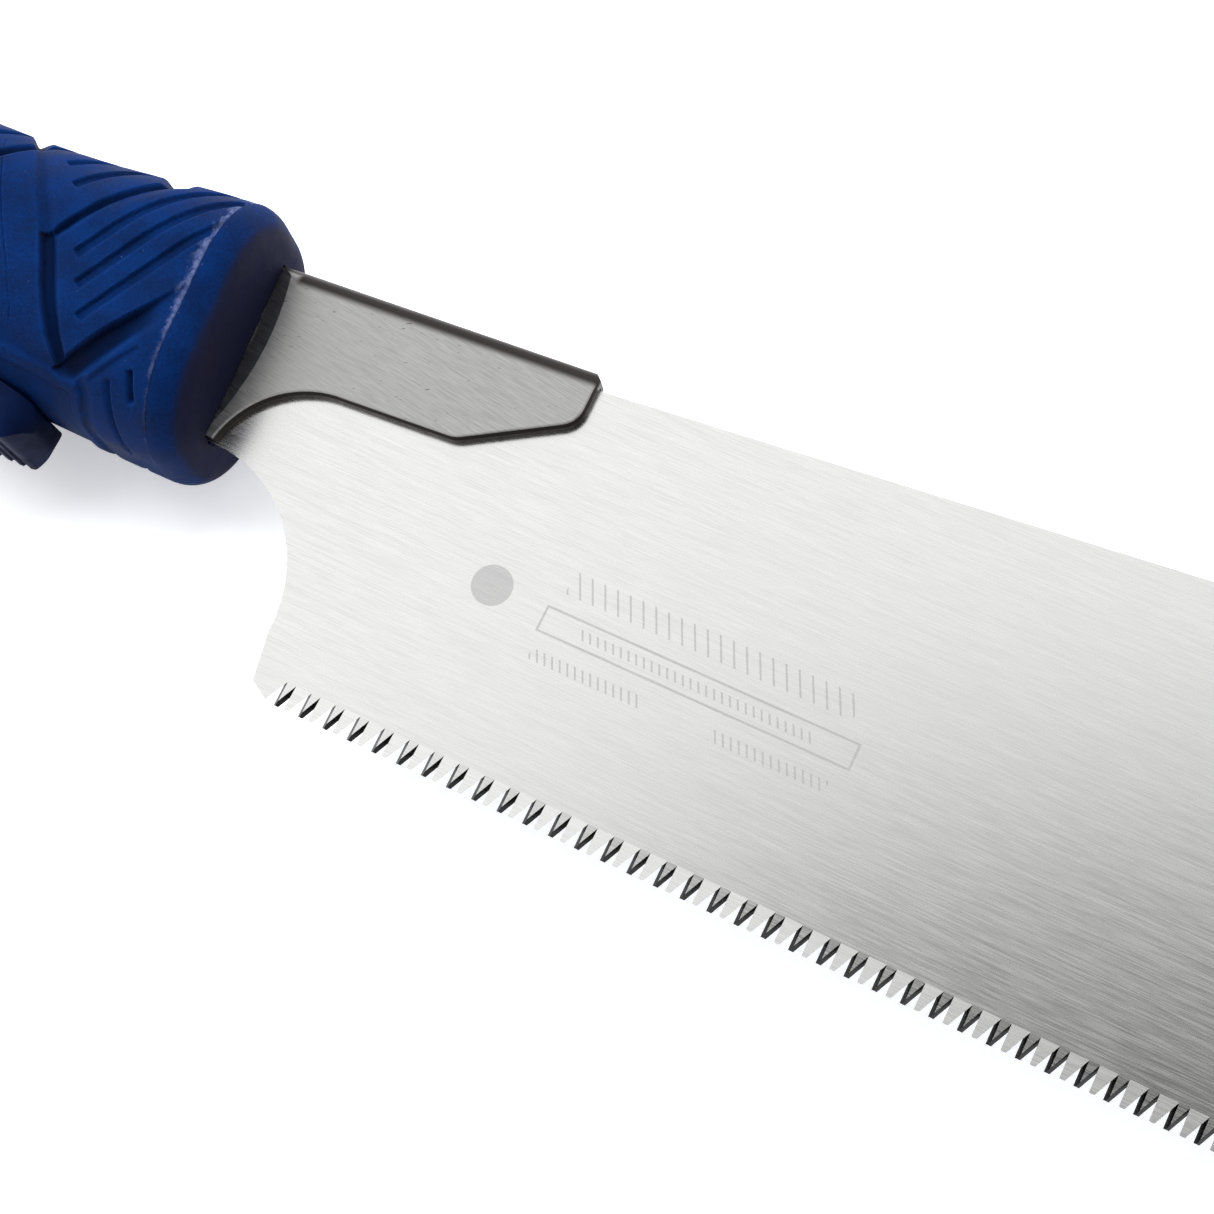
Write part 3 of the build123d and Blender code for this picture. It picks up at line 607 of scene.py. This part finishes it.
# ================================================================ blade
def make_blade():
    """The blade with its teeth set: bent to either side in turn, from the line of the gullet roots."""
    mesh = nodes["blade"].data.copy()
    mesh.name = "saw_blade"
    form = bmesh.new()
    form.from_mesh(mesh)
    everything = form.verts[:] + form.edges[:] + form.faces[:]
    bmesh.ops.bisect_plane(form, geom=everything, plane_co=at(0, 0, 0), plane_no=(0, 1, 0), dist=1e-7)
    for vert in form.verts:
        x, y, z = (vert.co - ORIGIN) / MM
        if y > -0.01 or x < -0.3:
            continue
        index = math.floor((x + 0.3) / PITCH)
        bend = TOOTH_SET * min(1.0, -y / TOOTH_DEPTH)
        vert.co.z += (bend if index % 2 else -bend) * MM
    form.to_mesh(mesh)
    form.free()
    blade = bpy.data.objects.new("saw_blade", mesh)
    bpy.context.scene.collection.objects.link(blade)
    blade.data.shade_flat()
    return blade


# ================================================================ dressing the saw
FINISHES = {
    "grip_rubber": rubber("grip_rubber", (0.0006, 0.0135, 0.073), (0.11, 0.14, 0.28), shaded_and_worn=True),
    "bumper_rubber": rubber("bumper_rubber", (0.02, 0.02, 0.021), (0.1, 0.1, 0.1)),
    "blade_steel": blade_steel(),
    "socket_steel": socket_steel(),
    "plain_steel": turned_metal("plain_steel", (0.56, 0.56, 0.57), 0.35),
    "zinc_steel": turned_metal("zinc_steel", (0.62, 0.64, 0.66), 0.32),
    "spring_steel": turned_metal("spring_steel", (0.66, 0.66, 0.66), 0.25),
    "brass": turned_metal("brass", (0.78, 0.56, 0.25), 0.3),
    "bronze": turned_metal("bronze", (0.55, 0.36, 0.2), 0.4),
    "eyelet_metal": turned_metal("eyelet_metal", (0.72, 0.73, 0.75), 0.3),
    "nylon": moulded_plastic("nylon", (0.022, 0.023, 0.028), 0.5, 0.02),
    "cap_plastic": moulded_plastic("cap_plastic", (0.006, 0.014, 0.045), 0.42, 0.02),
    "lever_plastic": moulded_plastic("lever_plastic", (0.0006, 0.0045, 0.026), 0.62, 0.015, specular=0.08),
}

for part in frame["record"]["subparts"]:
    node = nodes[part["node"]]
    node.data.materials.clear()
    node.data.materials.append(FINISHES[part["material_slot"]])

for piece, node, slot in (
    (make_grip(), "grip_sleeve", "grip_rubber"),
    (make_blade(), "blade", "blade_steel"),
):
    piece.data.materials.clear()
    piece.data.materials.append(FINISHES[slot])
    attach(piece, "handle")
    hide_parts(node)


# ================================================================ studio
def make_floor():
    reach = 10.0
    mesh = bpy.data.meshes.new("floor")
    corners = [(-reach, -reach, 0), (reach, -reach, 0), (reach, reach, 0), (-reach, reach, 0)]
    mesh.from_pydata(corners, [], [(0, 1, 2, 3)])
    floor = bpy.data.objects.new("floor", mesh)
    bpy.context.scene.collection.objects.link(floor)
    card = Surface("floor_card", (0.93, 0.93, 0.94), 0.8, specular=0.1)
    fibre = card.noise((0.6, 0.6, 0.6), detail=3)
    card.paint(card.blend(card.span(fibre, 0.3, 0.7), (0.87, 0.885, 0.93), (0.90, 0.91, 0.95)))
    card.shader.inputs["Emission Color"].default_value = (1, 1, 1, 1)
    card.shader.inputs["Emission Strength"].default_value = 0.4
    floor.data.materials.append(card.material)


def make_lights():
    """One large softbox, up beyond the spine and the butt, that the metal doesn't mirror."""
    place, target = at(-260, 330, 620), at(0, 20, 0)
    data = bpy.data.lights.new("key", "AREA")
    data.shape = "SQUARE"
    data.size = 0.7
    data.energy = 8.0
    lamp = bpy.data.objects.new("key", data)
    bpy.context.scene.collection.objects.link(lamp)
    lamp.location = place
    lamp.rotation_euler = (target - place).to_track_quat("-Z", "Y").to_euler()
    lamp.visible_glossy = False


SKY = 1.15
PATCH_X, PATCH_Y = 0.30, -0.32


def make_world():
    """Pale studio, dimmer past the toe, with a soft dark patch overhead that the blade mirrors.

    The patch's middle is given as the slopes of its direction, x and y for each unit of height."""
    world = bpy.data.worlds.new("studio")
    bpy.context.scene.world = world
    world.use_nodes = True
    tree = world.node_tree
    back = tree.nodes["Background"]
    direction = tree.nodes.new("ShaderNodeTexCoord")
    parts = tree.nodes.new("ShaderNodeSeparateXYZ")
    tree.links.new(direction.outputs["Generated"], parts.inputs[0])

    def math_node(operation, first, second=0.0):
        made = tree.nodes.new("ShaderNodeMath")
        made.operation = operation
        for slot, value in zip(made.inputs, (first, second)):
            if isinstance(value, bpy.types.NodeSocket):
                tree.links.new(value, slot)
            else:
                slot.default_value = value
        return made.outputs[0]

    def level(value, low, high, dark, bright):
        made = tree.nodes.new("ShaderNodeMapRange")
        made.interpolation_type = "SMOOTHSTEP"
        tree.links.new(value, made.inputs["Value"])
        for slot, number in zip(("From Min", "From Max", "To Min", "To Max"), (low, high, dark, bright)):
            made.inputs[slot].default_value = number
        return made.outputs[0]

    x, y, z = parts.outputs
    height = math_node("MAXIMUM", z, 0.15)
    slope_x = math_node("DIVIDE", x, height)
    slope_y = math_node("DIVIDE", y, height)
    off_x = math_node("SUBTRACT", slope_x, PATCH_X)
    off_y = math_node("SUBTRACT", slope_y, PATCH_Y)
    squares = math_node("ADD", math_node("MULTIPLY", off_x, off_x), math_node("MULTIPLY", off_y, off_y))
    patch = level(math_node("SQRT", squares), 0.49, 0.70, 0.0, SKY)
    below_patch = level(slope_y, -0.17, 0.0, 0.7, 0.0)
    overhead = math_node("MAXIMUM", patch, below_patch)
    sideways = level(math_node("SUBTRACT", y, x), -1.0, 0.3, 0.3, 1.2)
    horizon = level(z, 0.02, 0.10, 1.0, 0.0)
    sky = math_node("MAXIMUM", math_node("MINIMUM", overhead, sideways), horizon)
    tree.links.new(sky, back.inputs["Strength"])
    back.inputs["Color"].default_value = (1, 1, 1, 1)


def make_camera():
    """Close above the blade, looking back along it towards the handle."""
    place = Vector((78.57, -23.6, 202.83))
    right = Vector((0.8883, 0.4420, -0.1247))
    up = Vector((-0.3927, 0.8718, 0.2926))
    forward = Vector((-0.2381, 0.2110, -0.9481))
    data = bpy.data.cameras.new("camera")
    data.sensor_width = 36.0
    data.lens = 60.3
    data.clip_start = 0.01
    camera = bpy.data.objects.new("camera", data)
    bpy.context.scene.collection.objects.link(camera)
    axes = Matrix((right, up, -forward)).transposed().to_4x4()
    camera.matrix_world = Matrix.Translation(at(*place)) @ axes
    bpy.context.scene.camera = camera


make_floor()
make_lights()
make_world()
make_camera()
bpy.context.scene.view_settings.view_transform = "Standard"
